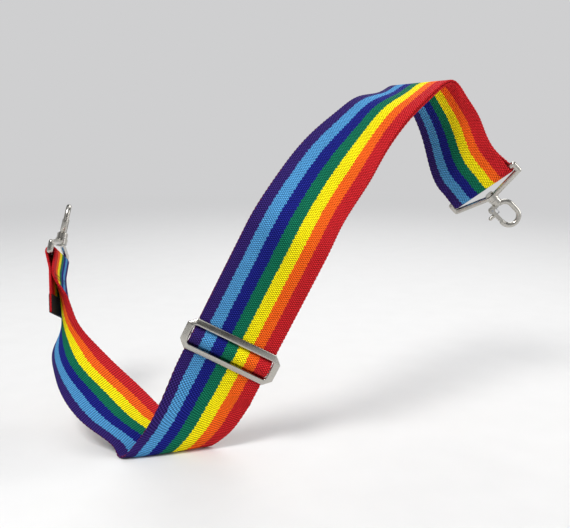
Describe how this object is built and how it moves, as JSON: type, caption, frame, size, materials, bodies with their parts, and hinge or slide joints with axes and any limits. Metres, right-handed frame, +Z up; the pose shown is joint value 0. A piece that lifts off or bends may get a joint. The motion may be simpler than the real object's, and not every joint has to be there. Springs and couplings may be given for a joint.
{
  "type": "adjustable bag strap",
  "caption": "Adjustable striped woven shoulder strap with a slider buckle and a swivelling snap hook at each end, draped as over a bag.",
  "frame": {"origin": "centre of the eye of the left snap hook (hook a), where the bag's ring would sit", "axes": "+Z up as the strap hangs, +X from the left hook towards the right hook, +Y from the front, where the slider is, towards the bag"},
  "size_m": [0.32, 0.133, 0.2181],
  "materials": {
    "striped_webbing": "woven polyester in seven lengthwise stripes: purple, light blue, navy, green, yellow, orange and red",
    "black_tape": "thin black woven binding tape",
    "satin_nickel": "die-cast and wire parts, satin nickel plated",
    "plain_steel": "plain steel pin and leaf spring"
  },
  "bodies": {
    "strap": {"webbing_hook_a_loop": "striped_webbing", "tail_end_binding": "black_tape", "webbing_lower_arm": "striped_webbing", "webbing_front_layer": "striped_webbing", "webbing_front_lower": "striped_webbing", "webbing_hook_b_loop": "striped_webbing", "webbing_return_upper": "striped_webbing"},
    "hook_a_loop": {"hook_a_base_loop": "satin_nickel"},
    "hook_a_claw_body": {"hook_a_claw": "satin_nickel", "hook_a_swivel_rivet": "satin_nickel", "hook_a_gate_pin": "plain_steel", "hook_a_gate_spring": "plain_steel"},
    "hook_a_gate_body": {"hook_a_gate": "satin_nickel"},
    "hook_b_loop": {"hook_b_base_loop": "satin_nickel"},
    "hook_b_claw_body": {"hook_b_claw": "satin_nickel", "hook_b_swivel_rivet": "satin_nickel", "hook_b_gate_pin": "plain_steel", "hook_b_gate_spring": "plain_steel"},
    "hook_b_gate_body": {"hook_b_gate": "satin_nickel"},
    "slider": {"slider_frame": "satin_nickel", "slider_centre_bar": "satin_nickel", "webbing_over_centre_bar": "striped_webbing", "webbing_sewn_end": "striped_webbing", "webbing_return_lower": "striped_webbing"}
  },
  "joints": [
    {"name": "hook_a_tilt", "type": "hinge", "parent": "strap", "child": "hook_a_loop", "pos_m": [-0.00436, -0.00931, -0.02408], "axis": [0.12, -0.9331, 0.339], "range_deg": [-46, 74]},
    {"name": "hook_a_swivel", "type": "hinge", "parent": "hook_a_loop", "child": "hook_a_claw_body", "pos_m": [-0.00436, -0.00931, -0.02408], "axis": [0.1667, 0.3556, 0.9197], "continuous": true},
    {"name": "hook_a_gate_hinge", "type": "hinge", "parent": "hook_a_claw_body", "child": "hook_a_gate_body", "pos_m": [-0.0034, 0.00261, -0.00983], "axis": [0.9358, 0.2369, -0.2612], "range_deg": [0, 30], "stiffness_Nm_per_rad": 0.03, "springref_deg": -28.65, "deforming": ["hook_a_gate_spring"]},
    {"name": "hook_b_tilt", "type": "hinge", "parent": "strap", "child": "hook_b_loop", "pos_m": [0.28069, 0.008, 0.02181], "axis": [0.5658, -0.5998, 0.5658], "range_deg": [-60, 60]},
    {"name": "hook_b_swivel", "type": "hinge", "parent": "hook_b_loop", "child": "hook_b_claw_body", "pos_m": [0.28069, 0.008, 0.02181], "axis": [0.7071, 0, -0.7071], "continuous": true},
    {"name": "hook_b_gate_hinge", "type": "hinge", "parent": "hook_b_claw_body", "child": "hook_b_gate_body", "pos_m": [0.28861, 0.008, 0.00498], "axis": [0, -1, 0], "range_deg": [0, 30], "stiffness_Nm_per_rad": 0.03, "springref_deg": -28.65, "deforming": ["hook_b_gate_spring"]},
    {"name": "slider_slide", "type": "slide", "parent": "strap", "child": "slider", "axis": [0.45, 0, 0.893], "range_m": [-0.008, 0.035], "deforming": ["webbing_over_centre_bar", "webbing_front_lower", "webbing_return_lower"]}
  ]
}
